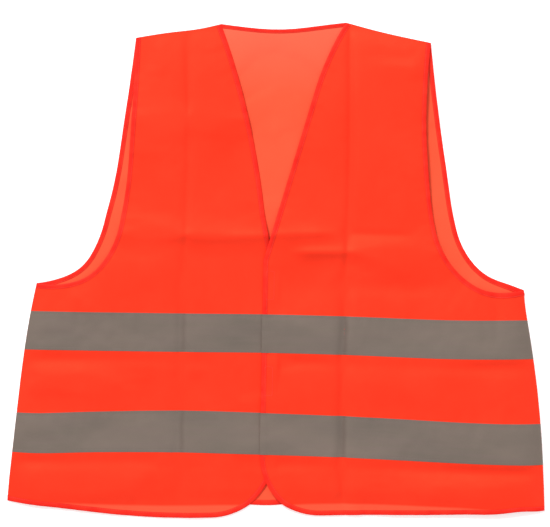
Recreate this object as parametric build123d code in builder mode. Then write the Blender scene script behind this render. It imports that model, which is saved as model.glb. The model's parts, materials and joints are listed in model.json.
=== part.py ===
from build123d import *
import os

# High visibility vest, closed and laid flat with its front up, in millimetres.
#
# +X is the wearer's left, +Y runs from the hem to the neck and +Z is away from the back panel.
# The origin is under the middle of the vest, on the surface that it lies on. Each front panel
# is sewn to the back at its shoulder and its side, and opens about a fold line between the two.
# Every piece is a flat cut with a plan and two heights. Plans are drawn on the XY plane.

# ---- cut of the vest ----
length = 641.0  # front hem to neck points
hem_half = 350.0
back_hem_up = 17.0  # the back is cut this much shorter than the fronts
neck_half = 82.0
neck_dip = 8.0
shoulder_half, shoulder_up = 192.0, 620.0
underarm_half, underarm_up = 317.0, 298.0
side_half, side_up = 338.0, 159.0  # where the side seam bows out
# the fronts are cut narrower than the back: halfway down the armhole, and above its scoop
front_armhole_inset = {"left": (20.0, 28.5), "right": (11.0, 21.0)}

# ---- closure: the left front lies on the right front ----
closure_x = -12.0
overlap = 18.0
corner_radius = 80.0
edge_x = {"left": closure_x - overlap / 2, "right": closure_x + overlap / 2}
# each neckline curves from the neck point, through one point, to another where it is straight,
# as (distance from the middle, distance up)
neckline = {"left": [(60, 602), (44, 560)], "right": [(48, 535), (21, 395)]}
neckline_end_up = {"left": 332.0, "right": 300.0}

# ---- cloth, tape and trim ----
cloth = 0.5
tape = 0.3
tape_width = 50.0
tape_up = {"upper": 236.5, "lower": 107.0}  # middle of each tape
trim = 0.3  # thickness of the binding strip
binding_width = 8.0
seam_width = 4.0
seam_end = 3.0  # a seam stops this far short of the bindings at its ends
thread = 0.2
thread_width = 0.6
tape_stitch_inset = 3.0
patch = 0.8
patch_width, patch_length = 13.0, 40.0
patch_up = (300.0, 175.0)  # below the neckline, and between the tapes
patch_gap = 0.3  # between a hook patch and its loop patch
label_width, label_length, label_up = 28.0, 42.0, 175.0

# ---- heights of the layers ----
wearing_room = 6.0  # between the back and the fronts
back_low = tape
right_low = back_low + cloth + wearing_room
left_low = right_low + cloth + 2 * (trim + patch) + patch_gap
front_low = {"left": left_low, "right": right_low}

# ---- fold lines ----
fold_inset = 16.0  # from the side seam to the fold line, at the hem
fold_gap = 0.5  # between the fixed part and the opening part of a front
axis_clearance = 0.2  # from the highest stitches up to the fold's axis

SIDES = {"left": 1, "right": -1}
BEYOND = 2 * length  # longer than anything it has to cut


# ---- plans ----
def at(x, up):
    """A point of the plan, from its distance above the front hem."""
    return (x, up - length / 2)


def armhole(halfway_inset, scoop_inset):
    """An armhole's edge, in three arcs from the shoulder to the underarm."""
    scoop_start = at(231 - scoop_inset, 376)
    scoop_end = at(265 - 0.3 * scoop_inset, 321 - 0.64 * scoop_inset)
    upper = ThreePointArc(
        at(shoulder_half, shoulder_up), at(208 - halfway_inset, 498), scoop_start
    )
    scoop = TangentArc(scoop_start, scoop_end, tangent=upper % 1)
    TangentArc(scoop_end, at(underarm_half, underarm_up), tangent=scoop % 1)


def back_plan():
    """The back's outline, bound edges included."""
    with BuildSketch() as plan:
        with BuildLine():
            TangentArc(at(0, length - neck_dip), at(neck_half, length), tangent=(1, 0))
            Line(at(neck_half, length), at(shoulder_half, shoulder_up))
            armhole(0, 0)
            ThreePointArc(
                at(underarm_half, underarm_up),
                at(side_half, side_up),
                at(hem_half, back_hem_up),
            )
            Line(at(hem_half, back_hem_up), at(0, back_hem_up))
            mirror(about=Plane.YZ)
        make_face()
    return plan.sketch


def front_plan(side):
    """One front's outline. It is drawn on the +X side, and the right one is mirrored."""
    edge = SIDES[side] * edge_x[side]
    through, straight_from = (at(x, up) for x, up in neckline[side])
    edge_top = at(edge, neckline_end_up[side])
    with BuildSketch() as plan:
        with BuildLine():
            ThreePointArc(at(neck_half, length), through, straight_from)
            Polyline(straight_from, edge_top, at(edge, corner_radius))
            hem_start = at(edge + corner_radius, 0)
            TangentArc(at(edge, corner_radius), hem_start, tangent=(0, -1))
            TangentArc(hem_start, at(hem_half, back_hem_up), tangent=(1, 0))
            ThreePointArc(
                at(hem_half, back_hem_up),
                at(side_half, side_up),
                at(underarm_half, underarm_up),
            )
            armhole(*front_armhole_inset[side])
            Line(at(shoulder_half, shoulder_up), at(neck_half, length))
        make_face()
        if side == "right":
            mirror(about=Plane.YZ, mode=Mode.REPLACE)
    return plan.sketch


def inside(plan, distance):
    """A plan drawn smaller, with its edge moved in."""
    with BuildSketch() as smaller:
        add(plan)
        offset(amount=-distance, kind=Kind.INTERSECTION)
    return smaller.sketch


def band(outer, inner):
    """What one plan has outside a smaller one."""
    with BuildSketch() as strip:
        add(outer)
        add(inner, mode=Mode.SUBTRACT)
    return strip.sketch


def window(x_from, x_to, up_from, up_to):
    """A rectangle of the plan."""
    with BuildSketch() as opening:
        with Locations(at((x_from + x_to) / 2, (up_from + up_to) / 2)):
            Rectangle(x_to - x_from, up_to - up_from)
    return opening.sketch


def row(up, width):
    """A rectangle across the whole vest, centred on a height above the hem."""
    return window(-BEYOND, BEYOND, up - width / 2, up + width / 2)


def common(*plans):
    """What all these plans share."""
    with BuildSketch() as shared:
        add(plans[0])
        for plan in plans[1:]:
            add(plan, mode=Mode.INTERSECT)
    return shared.sketch


def together(*plans):
    """Several plans as one."""
    with BuildSketch() as joined:
        for plan in plans:
            add(plan)
    return joined.sketch


# ---- cutting planes, each keeping what lies on the side that it faces ----
def facing(x, up, towards):
    """An upright plane through a point of the plan, facing a direction."""
    return Plane(origin=(*at(x, up), 0), z_dir=(*towards, 0))


def fold_plane(side, opening):
    """The cut along a fold line, half the gap from it, facing the part that is kept."""
    sign = SIDES[side]
    run = Vector(hem_half - fold_inset - neck_half, back_hem_up - length)
    outward = Vector(-run.Y * sign, run.X).normalized()
    towards = -outward if opening else outward
    cut = facing(sign * neck_half, length, (towards.X, towards.Y))
    return cut.offset(fold_gap / 2)


def closure_plane(underlap):
    """The cut down the right front beside the left front's edge."""
    towards = (1, 0) if underlap else (-1, 0)
    return facing(edge_x["left"], 0, towards)


def part_of(side, zone):
    """The planes that leave one zone of a front: its side, its opening part or underlap."""
    if zone == "side":
        return [fold_plane(side, opening=False)]
    planes = [fold_plane(side, opening=True)]
    if side == "right":
        planes.append(closure_plane(underlap=zone == "underlap"))
    return planes


# ---- solids ----
def save(solid, name):
    """Writes one finished piece."""
    solid.label = name
    export_step(solid, f"parts/{name}.step")


def flat_piece(name, layers, planes=()):
    """A piece made of flat layers, each (plan, lowest, highest), cut by planes."""
    with BuildPart() as piece:
        for plan, low, high in layers:
            with BuildSketch(Plane.XY.offset(low)):
                add(plan)
            extrude(amount=high - low)
        for plane in planes:
            split(bisect_by=plane, keep=Keep.TOP)
    save(piece.part, name)


def binding_layers(strip, rim, low, wing):
    """A strip folded over a panel's edge: two wings and the rim that joins them.

    wing is the plan of the upper wing, which stops where a tape is sewn over it.
    """
    high = low + cloth
    return [
        (strip, low - trim, low),
        (rim, low, high),
        (wing, high, high + trim),
    ]


def back_pieces():
    """The back panel, its tapes, its bindings and its rows of stitches."""
    plan = back_plan()
    panel = inside(plan, trim)
    top = back_low + cloth
    flat_piece("back_panel", [(panel, back_low, top)])

    strip = band(plan, inside(plan, binding_width))
    rim = band(plan, panel)
    neck = window(-neck_half, neck_half, shoulder_up, 2 * length)
    hem = row(0, 2 * (back_hem_up + binding_width))
    for name, zone in (("back_neck_binding", neck), ("back_hem_binding", hem)):
        wings = common(strip, zone)
        layers = binding_layers(wings, common(rim, zone), back_low, wings)
        flat_piece(name, layers)

    rows = []
    for name, up in tape_up.items():
        tape_plan = common(panel, row(up, tape_width))
        flat_piece(f"back_{name}_tape", [(tape_plan, 0, tape)])
        for turn in (1, -1):
            stitch_up = up + turn * (tape_width / 2 - tape_stitch_inset)
            rows.append(common(inside(plan, 2 * seam_width), row(stitch_up, thread_width)))
    flat_piece("back_stitching", [(together(*rows), top, top + thread)])


def seam_pieces(side):
    """The seam allowances that join a front's side part to the back."""
    sign = SIDES[side]
    plan = back_plan()
    strip = band(inside(plan, trim), inside(plan, trim + seam_width))
    low, high = back_low + cloth, front_low[side]
    clear = binding_width + seam_end
    side_zone = window(
        *sorted((sign * shoulder_half, sign * BEYOND)),
        back_hem_up + clear,
        underarm_up - clear,
    )
    shoulder_zone = window(
        *sorted((sign * (neck_half + clear), sign * (shoulder_half - clear))),
        (shoulder_up + underarm_up) / 2,
        BEYOND,
    )
    for name, zone in (("side", side_zone), ("shoulder", shoulder_zone)):
        flat_piece(f"{side}_{name}_seam", [(common(strip, zone), low, high)])


def armhole_binding(side):
    """The strip round an armhole, on the back's edge and on the front's edge."""
    sign = SIDES[side]
    zone = window(
        *sorted((sign * (neck_half + shoulder_half) / 2, sign * BEYOND)),
        underarm_up - seam_end,
        shoulder_up - seam_end,
    )
    layers = []
    for plan, low in ((back_plan(), back_low), (front_plan(side), front_low[side])):
        strip = common(band(plan, inside(plan, binding_width)), zone)
        rim = common(band(plan, inside(plan, trim)), zone)
        layers += binding_layers(strip, rim, low, strip)
    flat_piece(f"{side}_armhole_binding", layers)


def front_pieces(side, zone):
    """One zone of a front: its cloth, tapes, binding and stitches."""
    name = f"{side}_{zone}"
    planes = part_of(side, zone)
    plan = front_plan(side)
    panel = inside(plan, trim)
    low = front_low[side]
    top = low + cloth
    flat_piece(f"{name}_panel", [(panel, low, top)], planes)

    rows = []
    for tape_name, up in tape_up.items():
        tape_plan = common(panel, row(up, tape_width))
        flat_piece(f"{name}_{tape_name}_tape", [(tape_plan, top, top + tape)], planes)
        for turn in (1, -1):
            stitch_up = up + turn * (tape_width / 2 - tape_stitch_inset)
            rows.append(common(panel, row(stitch_up, thread_width)))

    under_tapes = together(*(row(up, tape_width) for up in tape_up.values()))
    strip = band(plan, inside(plan, binding_width))
    rim = band(plan, panel)
    wing = band(strip, under_tapes)
    if zone == "side":
        hem = row(0, 2 * (back_hem_up + binding_width))
        strip, rim, wing = (common(plan, hem) for plan in (strip, rim, wing))
    flat_piece(f"{name}_binding", binding_layers(strip, rim, low, wing), planes)

    stitch_top = top + tape + thread
    layers = [(together(*rows), top + tape, stitch_top)]
    flat_piece(f"{name}_stitching", layers, planes)


def patches():
    """Hook patches under the left front and loop patches on the right front's underlap.

    Both are sewn over the bound edges.
    """
    plans = together(
        *(
            window(
                closure_x - patch_width / 2,
                closure_x + patch_width / 2,
                up - patch_length / 2,
                up + patch_length / 2,
            )
            for up in patch_up
        )
    )
    loop_low = right_low + cloth + trim
    hook_high = left_low - trim
    flat_piece("loop_patches", [(plans, loop_low, loop_low + patch)])
    flat_piece("hook_patches", [(plans, hook_high - patch, hook_high)])


def care_label():
    """A blank label in the wearer's left side seam, lying on the back's inner face."""
    low = back_low + cloth
    x_to = side_half - 3 * seam_width
    plan = window(
        x_to - label_width, x_to, label_up - label_length / 2, label_up + label_length / 2
    )
    flat_piece("care_label", [(plan, low, low + tape)])


def report_axes():
    """The fold axes, for the record: a point on each, its direction and its height."""
    for side, sign in SIDES.items():
        x, y = at(neck_half, length)
        run = Vector(hem_half - fold_inset - neck_half, back_hem_up - length).normalized()
        z = front_low[side] + cloth + tape + thread + axis_clearance
        print(side, "fold axis through", (sign * x, y, z), "along", (-run.X, -sign * run.Y))


os.makedirs("parts", exist_ok=True)
back_pieces()
for side in SIDES:
    seam_pieces(side)
    armhole_binding(side)
    for zone in ("side", "front"):
        front_pieces(side, zone)
front_pieces("right", "underlap")
patches()
care_label()
report_axes()
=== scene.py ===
"""A high visibility vest, closed and laid flat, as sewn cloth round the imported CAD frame.

Every piece is cut in plan, as a tailor cuts it, and then laid on one of three layers: the back,
the right front or the left front. A layer is a smooth height over the plan, so whatever is sewn
to a cloth follows its creases. Lengths are in metres. +X is the wearer's left, +Y the neck.
"""

import json
import math

import bmesh
import bpy
import numpy as np
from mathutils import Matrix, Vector
from mathutils.geometry import delaunay_2d_cdt


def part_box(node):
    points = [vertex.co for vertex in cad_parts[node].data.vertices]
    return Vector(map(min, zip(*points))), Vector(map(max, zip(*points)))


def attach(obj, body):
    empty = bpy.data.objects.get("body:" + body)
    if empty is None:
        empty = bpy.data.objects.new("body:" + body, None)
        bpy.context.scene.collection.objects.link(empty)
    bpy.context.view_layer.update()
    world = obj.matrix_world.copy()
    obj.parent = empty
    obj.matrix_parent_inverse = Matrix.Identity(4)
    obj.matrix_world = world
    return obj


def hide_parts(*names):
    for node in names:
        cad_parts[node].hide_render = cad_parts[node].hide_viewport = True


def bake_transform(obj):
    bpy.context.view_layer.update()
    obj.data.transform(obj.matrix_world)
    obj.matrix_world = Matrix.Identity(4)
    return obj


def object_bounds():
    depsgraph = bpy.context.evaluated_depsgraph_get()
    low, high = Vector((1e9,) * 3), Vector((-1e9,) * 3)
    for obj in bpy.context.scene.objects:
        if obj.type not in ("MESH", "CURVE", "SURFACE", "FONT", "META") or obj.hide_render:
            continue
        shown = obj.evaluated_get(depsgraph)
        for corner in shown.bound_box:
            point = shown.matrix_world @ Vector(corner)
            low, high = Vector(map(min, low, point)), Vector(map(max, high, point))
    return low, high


MM = 0.001
SIDES = {"left": 1, "right": -1}

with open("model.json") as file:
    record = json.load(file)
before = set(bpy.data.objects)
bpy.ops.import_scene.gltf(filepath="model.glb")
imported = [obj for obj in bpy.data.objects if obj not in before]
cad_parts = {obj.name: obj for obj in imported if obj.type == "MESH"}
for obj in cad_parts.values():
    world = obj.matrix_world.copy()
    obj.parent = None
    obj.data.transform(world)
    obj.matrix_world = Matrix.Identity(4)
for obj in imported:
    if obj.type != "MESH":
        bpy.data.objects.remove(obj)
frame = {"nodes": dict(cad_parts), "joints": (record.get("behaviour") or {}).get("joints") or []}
cad_low, cad_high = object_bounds()


# ---- sizes that the frame gives ----
def thickness(node):
    """How high a node's box is."""
    low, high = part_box(node)
    return high.z - low.z


CLOTH = thickness("back_panel")
TAPE = thickness("back_upper_tape")
TRIM = (thickness("back_hem_binding") - CLOTH) / 2
THREAD = thickness("back_stitching")
BINDING_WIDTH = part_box("back_hem_binding")[1].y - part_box("back_hem_binding")[0].y
UNDER_EDGE_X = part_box("right_underlap_panel")[1].x
TOP_EDGE_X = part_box("left_front_panel")[0].x
JOINTS = {j["child"]: j for j in frame["joints"]}
TAPE_ROWS = {
    row: (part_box(f"back_{row}_tape")[0].y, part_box(f"back_{row}_tape")[1].y)
    for row in ("upper", "lower")
}

# ---- sizes that the cloth needs ----
STEP = 3.0 * MM  # between the points of a cloth's mesh
CELL = 2.5 * MM  # between the points where a layer's height is kept
MARGIN = 24 * MM  # of a layer beyond the object's box
FOLD_BEND = 12 * MM  # width of the strip that bends when a front opens
STITCH = 3.0 * MM  # from one stitch to the next
PATCH_LONG = 40 * MM  # a patch from end to end. Its node's box holds both patches


# ---- plans: closed loops of points, anticlockwise ----
def loop_of(node):
    """The outline of a flat node's upper face."""
    mesh = frame["nodes"][node].data
    key = [tuple(round(c, 6) for c in v.co.xy) for v in mesh.vertices]
    following = {}
    for face in mesh.polygons:
        if face.normal.z > 0.9:
            corners = [key[i] for i in face.vertices]
            for a, b in zip(corners, corners[1:] + corners[:1]):
                if b in following and a in following[b]:
                    following[b].remove(a)
                else:
                    following.setdefault(a, []).append(b)
    following = {a: ends for a, ends in following.items() if ends}
    start = point = next(iter(following))
    loop = []
    while not loop or point != start:
        loop.append(point)
        point = following[point][0]
    return np.array(loop)


def opened(loop):
    """A loop's points, from the end of its longest edge round to that edge's start."""
    edges = np.linalg.norm(np.roll(loop, -1, axis=0) - loop, axis=1)
    return np.roll(loop, -(int(edges.argmax()) + 1), axis=0)


def joined(*nodes):
    """One loop round nodes that lie beside each other, each along its longest edge."""
    loop = loop_of(nodes[0])
    for node in nodes[1:]:
        loop = np.concatenate([opened(loop), opened(loop_of(node))])
    return loop


def turns(loop):
    """How sharply a loop turns at each point, in degrees."""
    after = np.roll(loop, -1, axis=0) - loop
    before = loop - np.roll(loop, 1, axis=0)
    cross = before[:, 0] * after[:, 1] - before[:, 1] * after[:, 0]
    return np.degrees(np.abs(np.arctan2(cross, (before * after).sum(axis=1))))


def corners(loop):
    """The indices of a loop's sharp corners, from the lowest to the highest in plan."""
    sharp = np.nonzero(turns(loop) > 20)[0]
    return sorted(sharp, key=lambda i: loop[i][1])


def closed(loop):
    """A loop as a path that ends where it starts."""
    return np.concatenate([loop, loop[:1]])


def pairs(x, y):
    """Two grids of coordinates as one list of plan points."""
    return np.stack([x.ravel(), y.ravel()], axis=1)


def unit(vectors):
    """Vectors made one long. One that has no length stays as it is."""
    return vectors / np.maximum(np.linalg.norm(vectors, axis=1), 1e-9)[:, None]


def run_along(path):
    """How far along a path each of its points is."""
    return np.r_[0, np.cumsum(np.linalg.norm(np.diff(path, axis=0), axis=1))]


def spaced(path, step):
    """An open path with points at even distances along it."""
    along = run_along(path)
    count = max(2, int(round(along[-1] / step)) + 1)
    places = np.linspace(0, along[-1], count)
    return np.stack([np.interp(places, along, path[:, k]) for k in (0, 1)], axis=1)


def spaced_loop(loop, step):
    """A closed loop with even points between its sharp corners."""
    sharp = sorted(corners(loop))
    parts = []
    for a, b in zip(sharp, sharp[1:] + [sharp[0] + len(loop)]):
        part = loop[np.arange(a, b + 1) % len(loop)]
        parts.append(spaced(part, step)[:-1])
    return np.concatenate(parts)


def section(loop, start, end):
    """The shorter way along a loop between two of its points, from start to end."""
    count = len(loop)
    forward = loop[np.arange(start, start + (end - start) % count + 1) % count]
    backward = loop[np.arange(start, start - (start - end) % count - 1, -1) % count]

    def long(path):
        return np.linalg.norm(np.diff(path, axis=0), axis=1).sum()

    return forward if long(forward) < long(backward) else backward


def is_inside(points, loop):
    """Which points lie inside a loop."""
    x, y = points[:, :1], points[:, 1:]
    ax, ay = loop[:, 0], loop[:, 1]
    bx, by = np.roll(ax, -1), np.roll(ay, -1)
    rise = np.where(by == ay, 1e-12, by - ay)
    crosses = ((ay > y) != (by > y)) & (x < (bx - ax) * (y - ay) / rise + ax)
    return crosses.sum(axis=1) % 2 == 1


def nearest(points, path):
    """How far each point is from an open path, and how far along it the nearest place is."""
    x, y = points[:, 0].copy(), points[:, 1].copy()
    least, along, done = np.full(len(x), np.inf), np.zeros(len(x)), 0.0
    for (ax, ay), (bx, by) in zip(path[:-1], path[1:]):
        length = max(math.hypot(bx - ax, by - ay), 1e-9)
        ux, uy = (bx - ax) / length, (by - ay) / length
        t = np.clip((x - ax) * ux + (y - ay) * uy, 0, length)
        square = (x - ax - t * ux) ** 2 + (y - ay - t * uy) ** 2
        closer = square < least
        least[closer] = square[closer]
        along[closer] = done + t[closer]
        done += length
    return np.sqrt(least), along


def distance(points, path):
    """How far each point is from an open path."""
    return nearest(points, path)[0]


class Outline:
    """The cut of one cloth, with the corners where its seams and bound edges meet."""

    def __init__(self, loop):
        self.loop = loop
        self.found = corners(loop)

    def near(self, x_sign, order):
        """A corner on one side; order counts the corners on that side from the hem up."""
        here = [i for i in self.found if self.loop[i][0] * x_sign > 0.03]
        return here[order]

    def between(self, first, last):
        return section(self.loop, first, last)


HEM, UNDERARM, SHOULDER, NECK = 0, 1, 2, 3
back = Outline(loop_of("back_panel"))
fronts = {
    "left": Outline(joined("left_front_panel", "left_side_panel")),
    "right": Outline(
        joined("right_front_panel", "right_side_panel", "right_underlap_panel")
    ),
}
sides = [back.between(back.near(s, HEM), back.near(s, UNDERARM)) for s in (1, -1)]
shoulders = [back.between(back.near(s, SHOULDER), back.near(s, NECK)) for s in (1, -1)]
back_armholes = {
    side: back.between(back.near(s, UNDERARM), back.near(s, SHOULDER))
    for side, s in SIDES.items()
}
front_armholes = {
    side: fronts[side].between(fronts[side].near(s, UNDERARM), fronts[side].near(s, SHOULDER))
    for side, s in SIDES.items()
}
back_neck = back.between(back.near(1, NECK), back.near(-1, NECK))
back_hem = back.between(back.near(-1, HEM), back.near(1, HEM))


def front_edge(side):
    """A front's free edge, from the neck down its edge and along the hem to the side seam."""
    loop = fronts[side].loop
    neck = min(fronts[side].found[3:], key=lambda i: abs(loop[i][0]))
    forward = np.roll(loop, -neck, axis=0)
    hem = int(np.argmin(np.linalg.norm(forward - loop[fronts[side].near(SIDES[side], HEM)], axis=1)))
    one, other = forward[: hem + 1], np.concatenate([forward[hem:], forward[:1]])[::-1]
    return min(one, other, key=lambda path: np.abs(path[:, 0]).min())


front_edges = {side: front_edge(side) for side in SIDES}


def fold_line(side):
    """A point on the axis that a front folds about, and the way across it to the part that opens."""
    joint = JOINTS[f"{side}_front"]
    across = Vector(joint["axis"]).cross(Vector((0, 0, 1)))
    return joint["pos_m"], -across if across.x * SIDES[side] > 0 else across


def off_fold(points, side):
    """How far plan points lie from a front's fold line, towards the part that opens."""
    at, across = fold_line(side)
    return (points - np.array(at[:2])) @ np.array(across[:2])


# ---- layers: how high each cloth lies ----
LOW = np.array([cad_low.x - MARGIN, cad_low.y - MARGIN])
COUNT = [int((cad_high[k] - cad_low[k] + 2 * MARGIN) / CELL) + 1 for k in (0, 1)]
GRID_X, GRID_Y = np.meshgrid(*(LOW[k] + CELL * np.arange(COUNT[k]) for k in (0, 1)))
GRID = pairs(GRID_X, GRID_Y)


def on_grid(values):
    """One value for each point of GRID, as a grid."""
    return values.reshape(GRID_X.shape)


def sampled(grid, points):
    """A grid's values at plan points."""
    place = (points - LOW) / CELL
    col = np.clip(place[:, 0], 0, COUNT[0] - 1.001)
    row = np.clip(place[:, 1], 0, COUNT[1] - 1.001)
    i, j = row.astype(int), col.astype(int)
    v, u = row - i, col - j
    low = grid[i, j] * (1 - u) + grid[i, j + 1] * u
    high = grid[i + 1, j] * (1 - u) + grid[i + 1, j + 1] * u
    return low * (1 - v) + high * v


def step_between(value, start, end):
    """0 before start, 1 after end, and smooth between them. End may be the smaller one."""
    t = np.clip((value - start) / (end - start), 0, 1)
    return t * t * (3 - 2 * t)


def waves(seed, shortest, longest, count=28):
    """Soft uneven waves over the plan, about 1 high at most."""
    draw = np.random.default_rng(seed)
    total = np.zeros_like(GRID_X)
    for _ in range(count):
        length = shortest * (longest / shortest) ** draw.random()
        heading = draw.random() * math.pi
        phase = draw.random() * 2 * math.pi
        run = GRID_X * math.cos(heading) + GRID_Y * math.sin(heading)
        total += np.sin(2 * math.pi * run / length + phase)
    return total / math.sqrt(count)


def puckers(gap, along, pitch, seed):
    """Small gathers across a sewn edge, that fade away from it."""
    wander = np.random.default_rng(seed).random(3) * 2 * math.pi
    phase = sum(
        1.6 * np.sin(along / length + start)
        for length, start in zip((31 * MM, 47 * MM, 83 * MM), wander)
    )
    return np.sin(2 * math.pi * along / pitch + phase) * np.exp(-gap / (9 * MM))


def crease(offset, width, height):
    """The ridge, or with a height below 0 the valley, left by folding the vest for storage."""
    return height * np.exp(-np.sqrt((offset / width) ** 2 + 0.05) + 0.22)


seam_gap = on_grid(
    np.min([distance(GRID, path) for path in sides + shoulders], axis=0)
)
edge_gap = {side: [on_grid(v) for v in nearest(GRID, front_edges[side])] for side in SIDES}
armhole_gap = {side: [on_grid(v) for v in nearest(GRID, front_armholes[side])] for side in SIDES}

# heights of a cloth's middle
SEAM_HEIGHT = {"back": 1.15 * MM, "front": 1.85 * MM}
CROWN = {"left": 8.4 * MM, "right": 5.4 * MM}  # by the fold line, under its joint's axis
CLOSURE = {"left": 5.8 * MM, "right": 3.1 * MM}  # where the fronts overlap
PILLOW = 22 * MM  # how soon a front rises from its seams
CROWN_REACH = (12 * MM, 130 * MM)  # from the fold line: where a front begins to sink, and where it ends
SETTLE, SETTLE_REACH = 2.6 * MM, 36 * MM  # how much lower a free edge lies, and how far in that reaches
AXIS_ROOM = 1.1 * MM  # that a front keeps below its joint's axis
LIFTED_ROOM = 1.0 * MM  # and the left one, once it is lifted over the right one
ON_BACK = 0.9 * MM  # from the back's height to the least height of a front above it
OVERLAP_GAP = 1.5 * MM  # from the right front's height to the left one's, where they overlap
PATCH_ROOM = 1.4 * MM  # and so much more at the patches

# storage folds down the vest, each a little crooked: x, height (a valley is below 0) and width
FOLDS_DOWN = (
    (TOP_EDGE_X + 108 * MM, -3.2 * MM, 4.5 * MM),
    (TOP_EDGE_X - 103 * MM, -2.2 * MM, 5.0 * MM),
)
# storage folds across it: y, height, width, and where each begins and ends in x
FOLDS_ACROSS = (
    (46 * MM, 3.0 * MM, 7.0 * MM, -215 * MM, 62 * MM),
    (22 * MM, 3.2 * MM, 7.5 * MM, 28 * MM, 205 * MM),
    (46 * MM, -1.6 * MM, 7.0 * MM, 88 * MM, 165 * MM),
    (199 * MM, 1.0 * MM, 9.0 * MM, -195 * MM, -40 * MM),
)
# soft rolls and hollows in the cloth: place, reach and height, in millimetres
ROLLS = (
    ((-240, -282), (90, 20), 4.0),
    ((-60, -287), (60, 14), 2.0),
    ((95, -284), (70, 16), 2.2),
    ((235, -282), (70, 18), 3.0),
    ((-265, -150), (65, 16), 3.0),
    ((-70, -152), (60, 14), -2.0),
    ((190, -150), (90, 18), 2.6),
    ((153, 262), (34, 12), 2.4),
    ((-130, 190), (60, 14), 1.6),
    ((35, -20), (28, 34), -2.0),
    ((-190, -5), (50, 26), 2.2),
    ((130, -20), (70, 14), -2.4),
)


def storage_folds():
    """The creases that folding left."""
    total = np.zeros_like(GRID_X)
    for x, height, width in FOLDS_DOWN:
        offset = GRID_X - x - 2.2 * MM * np.sin(GRID_Y / (88 * MM))
        total += crease(offset, width, height)
    for y, height, width, start, end in FOLDS_ACROSS:
        offset = GRID_Y - y - 1.8 * MM * np.sin(GRID_X / (37 * MM)) - 0.02 * GRID_X
        fade = 18 * MM
        here = step_between(GRID_X, start - fade, start + fade)
        here *= step_between(GRID_X, end + fade, end - fade)
        total += crease(offset, width, height) * here
    return total


def rolls():
    """Soft swellings and hollows where the cloth has slack."""
    total = np.zeros_like(GRID_X)
    for (x, y), (reach_x, reach_y), height in ROLLS:
        off = ((GRID_X - x * MM) / (reach_x * MM)) ** 2 + ((GRID_Y - y * MM) / (reach_y * MM)) ** 2
        total += height * MM * np.exp(-off)
    return total


def tape_puckers(seed):
    """Gathers beside the rows of stitches along the tapes."""
    total = np.zeros_like(GRID_X)
    for n, edge in enumerate(y for row in TAPE_ROWS.values() for y in row):
        total += puckers(np.abs(GRID_Y - edge), GRID_X, 19 * MM, seed + n)
    return total


def tape_sags():
    """The hollows below each tape, where the limp knit hangs from the stiffer tape's edge."""
    total = np.zeros_like(GRID_X)
    for (low, _), depth in zip(TAPE_ROWS.values(), (2.0 * MM, 2.8 * MM)):
        uneven = 0.7 + 0.3 * np.sin(GRID_X / (52 * MM) + 40 * low)
        total -= depth * uneven * np.exp(-(((GRID_Y - low + 12 * MM) / (9 * MM)) ** 2))
    return total


def soft_top(heights, top, soft=0.5 * MM):
    """Heights pressed smoothly below a top."""
    return top - soft * np.logaddexp(0, (top - heights) / soft)


class Layer:
    """The height of a cloth's middle over the plan."""

    def __init__(self, heights):
        self.heights = heights
        self.slope_y, self.slope_x = np.gradient(heights, CELL)

    def place(self, points, lift=0.0):
        """Where plan points lie once they are lifted off the middle of the cloth."""
        slope = [sampled(g, points) for g in (self.slope_x, self.slope_y)]
        normal = np.stack([-slope[0], -slope[1], np.ones(len(points))], axis=1)
        middle_at = np.c_[points + pulled(points), sampled(self.heights, points)]
        return middle_at + unit(normal) * np.broadcast_to(lift, len(points))[:, None]


# where sewing and wear have pulled the cut out of line: place, reach, and how far in millimetres
PULLS = (
    ((0.23, -0.085), (0.10, 0.05), (0.0, -3.2)),  # tapes
    ((0.00, -0.084), (0.10, 0.05), (0.0, 1.2)),
    ((0.30, -0.215), (0.15, 0.06), (0.0, -8.0)),
    ((-0.32, -0.215), (0.06, 0.06), (0.0, -4.0)),
    ((-0.13, -0.210), (0.08, 0.05), (0.0, 1.8)),
    ((-0.17, -0.320), (0.13, 0.04), (0.0, -5.6)),  # front hem
    ((-0.33, -0.310), (0.05, 0.04), (0.0, -2.0)),
    ((0.12, -0.320), (0.10, 0.04), (0.0, 3.0)),
    ((0.285, -0.310), (0.03, 0.04), (0.0, -2.0)),
    ((0.345, -0.305), (0.02, 0.03), (0.0, -3.0)),
    ((-0.01, -0.305), (0.03, 0.02), (0.0, -2.6)),  # back hem
    ((-0.15, -0.244), (0.25, 0.025), (0.0, -2.6)),  # the lower tape's lower edge
    ((0.20, -0.250), (0.16, 0.025), (0.0, -3.6)),
    ((0.34, -0.250), (0.05, 0.025), (0.0, -2.0)),
    ((-0.06, -0.186), (0.14, 0.02), (0.0, 2.2)),  # and its upper edge
    ((-0.265, -0.002), (0.04, 0.035), (4.5, -3.0)),  # armholes
    ((-0.215, 0.110), (0.03, 0.06), (2.8, 0.0)),
    ((0.30, -0.015), (0.025, 0.02), (3.0, 3.5)),
    ((0.225, 0.080), (0.03, 0.04), (-2.0, 0.0)),
    ((0.345, -0.180), (0.06, 0.12), (2.8, 0.0)),  # side seams
    ((-0.34, -0.200), (0.06, 0.08), (1.5, 0.0)),
    ((0.06, 0.318), (0.05, 0.03), (0.0, 4.0)),  # neck and shoulders
    ((-0.11, 0.316), (0.035, 0.03), (0.0, -2.6)),
)


def pulled(points):
    """How far plan points have moved in the plane."""
    total = np.zeros_like(points)
    for place, reach, shift in PULLS:
        near = np.exp(-(((points - place) / reach) ** 2).sum(axis=1))
        total += near[:, None] * np.array(shift) * MM
    return total


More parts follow.
